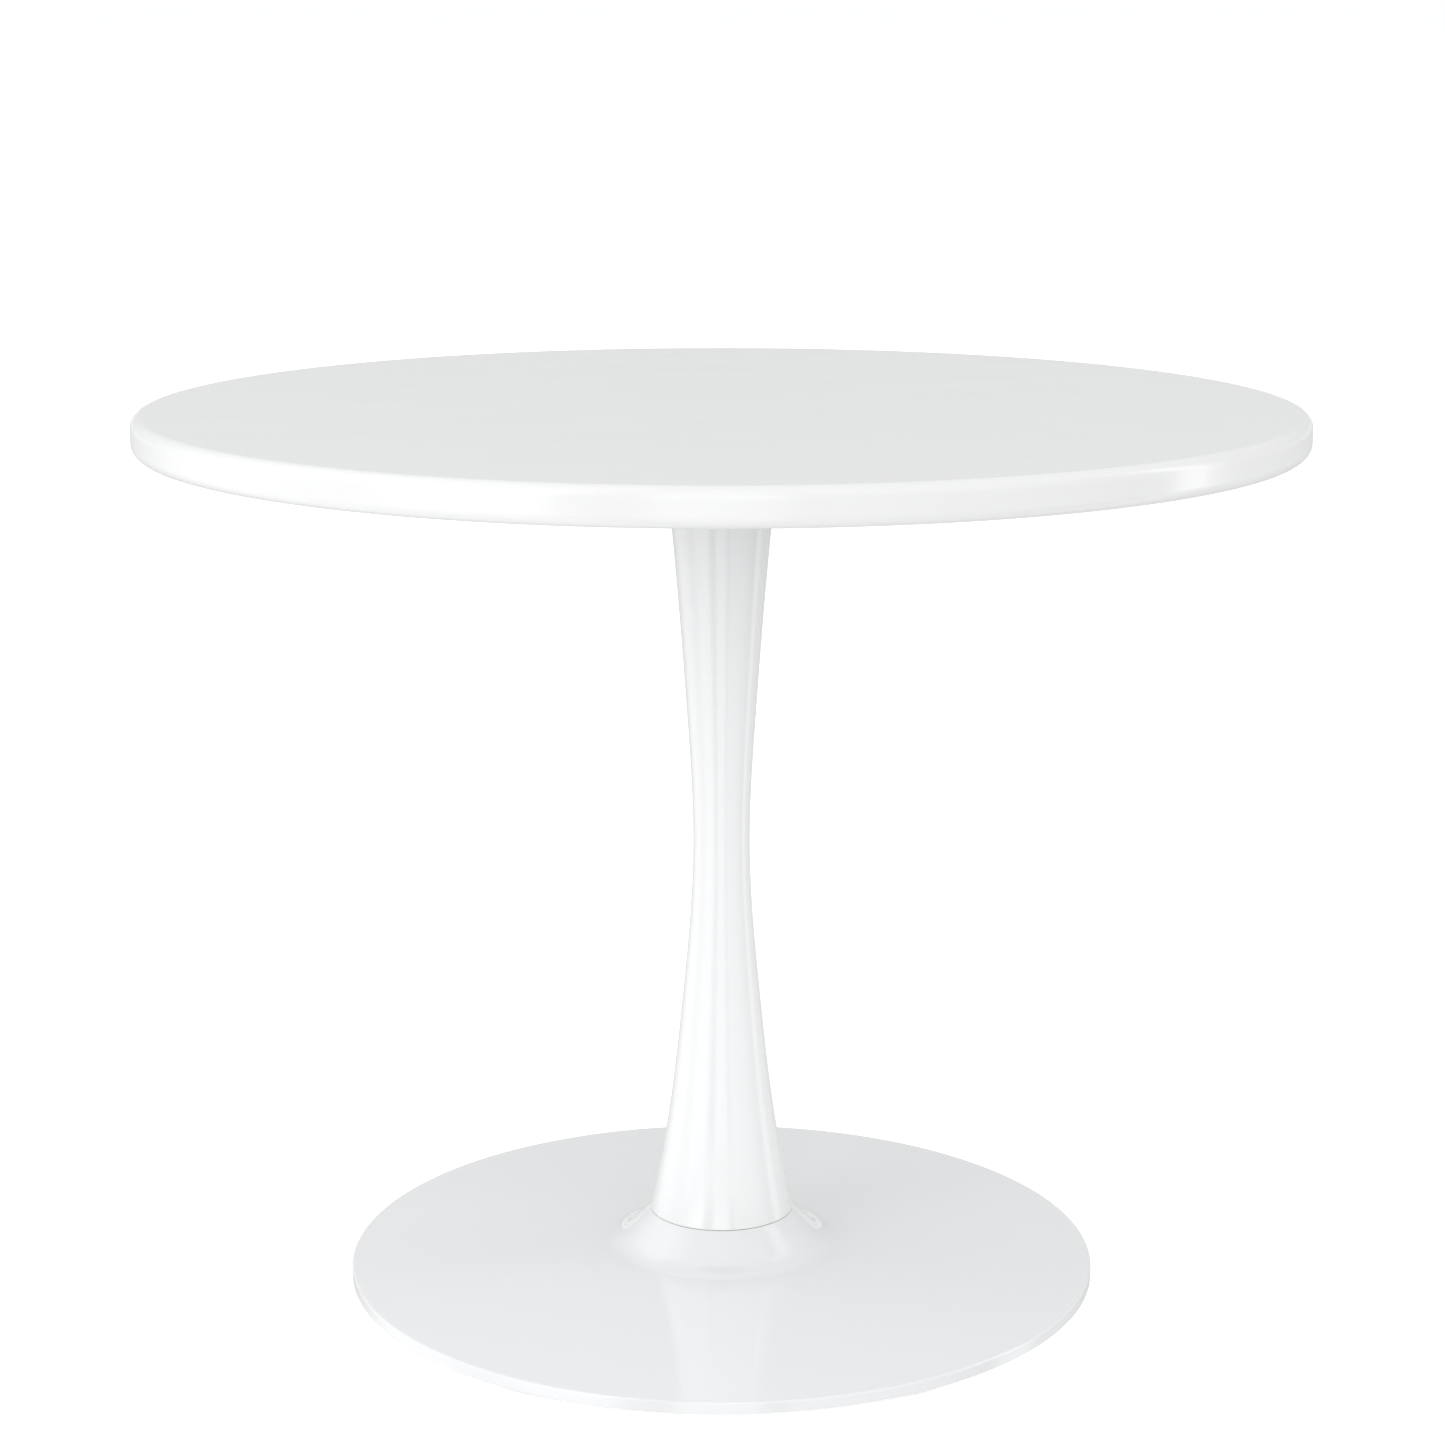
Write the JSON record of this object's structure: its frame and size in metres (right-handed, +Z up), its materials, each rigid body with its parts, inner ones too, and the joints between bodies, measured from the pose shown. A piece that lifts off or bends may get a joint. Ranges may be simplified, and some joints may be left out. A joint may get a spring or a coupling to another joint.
{
  "type": "round pedestal table",
  "caption": "Round table with a flat lacquered disc top on one slender hourglass column, rising from a wide shallow disc foot with a flared collar and hidden levelling glides.",
  "frame": {"origin": "on the floor, on the axis of the column", "axes": "+Z up along the column's axis; X and Y are level, and the levelling glides lie between them at 45 degrees"},
  "size_m": [0.9599, 0.96, 0.75],
  "materials": {
    "top_lacquer": "fibreboard in satin-gloss white lacquer",
    "column_lacquer": "high-gloss white lacquer on steel",
    "base_lacquer": "high-gloss white lacquer on steel, a little cooler than the column",
    "black_steel": "matte black powder coat on steel",
    "zinc_steel": "zinc plated steel",
    "raw_steel": "bare turned steel",
    "brass_insert": "plain brass",
    "gasket_rubber": "matte rubber",
    "black_plastic": "matte",
    "white_nylon": "matte nylon"
  },
  "bodies": {
    "table": {"tabletop_board": "top_lacquer", "threaded_inserts": "brass_insert", "mounting_plate": "black_steel", "plate_washers": "zinc_steel", "plate_screws": "zinc_steel", "column_shell": "column_lacquer", "column_top_ring": "raw_steel", "column_bottom_ring": "raw_steel", "plate_hub": "black_steel", "rod_jam_nut": "zinc_steel", "tie_rod": "zinc_steel", "rod_washer": "zinc_steel", "rod_lock_washer": "zinc_steel", "rod_nut": "zinc_steel", "base_cover": "base_lacquer", "seam_gasket": "gasket_rubber", "base_hub": "raw_steel", "weight_plate": "black_steel", "hub_screws": "zinc_steel", "access_plug": "black_plastic", "cover_brackets": "zinc_steel", "bracket_screws": "zinc_steel"},
    "sole_1": {"glide_sole_1": "white_nylon"},
    "levelling_screw_1": {"glide_screw_1": "zinc_steel"},
    "sole_2": {"glide_sole_2": "white_nylon"},
    "levelling_screw_2": {"glide_screw_2": "zinc_steel"},
    "sole_3": {"glide_sole_3": "white_nylon"},
    "levelling_screw_3": {"glide_screw_3": "zinc_steel"},
    "sole_4": {"glide_sole_4": "white_nylon"},
    "levelling_screw_4": {"glide_screw_4": "zinc_steel"}
  },
  "joints": [
    {"name": "glide_1_travel", "type": "slide", "parent": "table", "child": "sole_1", "axis": [0, 0, -1], "range_m": [0, 0.003]},
    {"name": "glide_1_turn", "type": "hinge", "parent": "sole_1", "child": "levelling_screw_1", "pos_m": [0.16617, 0.16617, 0.0036], "axis": [0, 0, 1], "range_deg": [0, 864]},
    {"name": "glide_2_travel", "type": "slide", "parent": "table", "child": "sole_2", "axis": [0, 0, -1], "range_m": [0, 0.003]},
    {"name": "glide_2_turn", "type": "hinge", "parent": "sole_2", "child": "levelling_screw_2", "pos_m": [-0.16617, 0.16617, 0.0036], "axis": [0, 0, 1], "range_deg": [0, 864]},
    {"name": "glide_3_travel", "type": "slide", "parent": "table", "child": "sole_3", "axis": [0, 0, -1], "range_m": [0, 0.003]},
    {"name": "glide_3_turn", "type": "hinge", "parent": "sole_3", "child": "levelling_screw_3", "pos_m": [-0.16617, -0.16617, 0.0036], "axis": [0, 0, 1], "range_deg": [0, 864]},
    {"name": "glide_4_travel", "type": "slide", "parent": "table", "child": "sole_4", "axis": [0, 0, -1], "range_m": [0, 0.003]},
    {"name": "glide_4_turn", "type": "hinge", "parent": "sole_4", "child": "levelling_screw_4", "pos_m": [0.16617, -0.16617, 0.0036], "axis": [0, 0, 1], "range_deg": [0, 864]}
  ],
  "couplings": [
    {"joint": "glide_1_turn", "follows": "glide_1_travel", "rad_per_m": 5026.5},
    {"joint": "glide_2_turn", "follows": "glide_2_travel", "rad_per_m": 5026.5},
    {"joint": "glide_3_turn", "follows": "glide_3_travel", "rad_per_m": 5026.5},
    {"joint": "glide_4_turn", "follows": "glide_4_travel", "rad_per_m": 5026.5}
  ]
}
